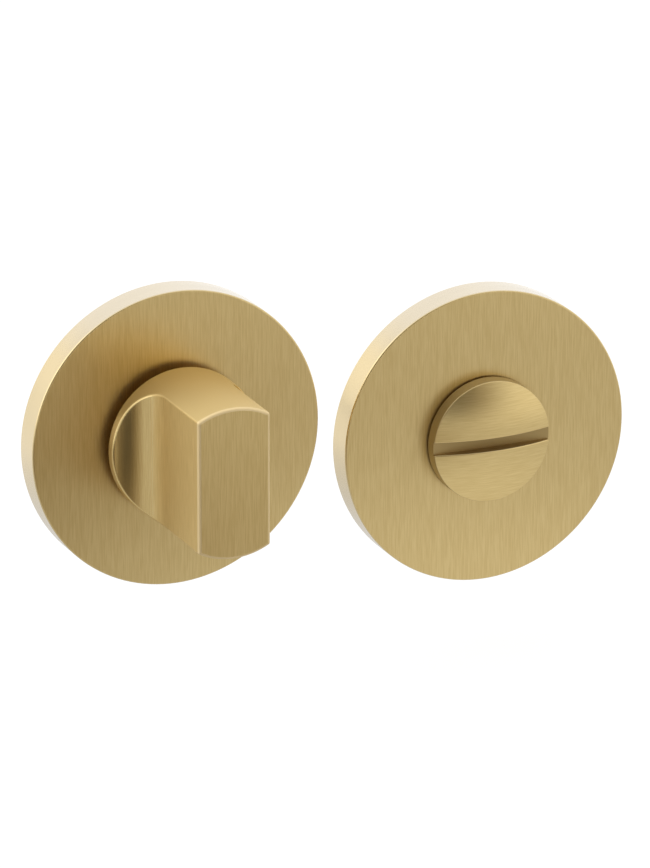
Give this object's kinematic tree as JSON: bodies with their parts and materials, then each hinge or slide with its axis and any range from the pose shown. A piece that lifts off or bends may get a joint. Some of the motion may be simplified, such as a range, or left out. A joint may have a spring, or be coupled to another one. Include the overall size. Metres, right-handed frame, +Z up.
{
  "type": "bathroom thumb turn lock",
  "caption": "Bathroom door lock set: thumb turn with scooped flanks on a flat round rose, and a domed coin-slot release on a matching rose.",
  "frame": {"origin": "centre of the thumb turn's two fixing holes, on the plane where its rose meets the door", "axes": "+Z up; the roses face -Y, so the turning axes and the spindle lie along Y and +Y goes into the door; +X from the thumb turn to the release half"},
  "size_m": [0.109, 0.0685, 0.0597],
  "materials": {
    "satin_brass": "satin, finely brushed",
    "zinc_casting": "bare zinc die casting, matt",
    "plated_steel": "zinc plated, satin",
    "spring_steel": "oiled spring steel, dark satin",
    "nylon": "moulded, matt"
  },
  "bodies": {
    "roses": {"turn_rose": "satin_brass", "turn_base_plate": "zinc_casting", "turn_snap_ring": "spring_steel", "turn_bush": "nylon", "turn_thrust_washer": "plated_steel", "release_rose": "satin_brass", "release_base_plate": "zinc_casting", "release_snap_ring": "spring_steel", "release_bush": "nylon", "release_thrust_washer": "plated_steel"},
    "turn": {"thumb_turn": "satin_brass", "turn_wave_washer": "spring_steel", "turn_circlip": "spring_steel", "spindle": "plated_steel", "spindle_grub_screw": "plated_steel"},
    "release": {"release_button": "satin_brass", "release_wave_washer": "spring_steel", "release_circlip": "spring_steel"}
  },
  "joints": [
    {"name": "turn_hinge", "type": "hinge", "parent": "roses", "child": "turn", "pos_m": [0, 0, 0], "axis": [0, -1, 0], "range_deg": [0, 90]},
    {"name": "release_hinge", "type": "hinge", "parent": "roses", "child": "release", "pos_m": [0.057, 0, -0.0077], "axis": [0, -1, 0], "range_deg": [0, 90]}
  ]
}
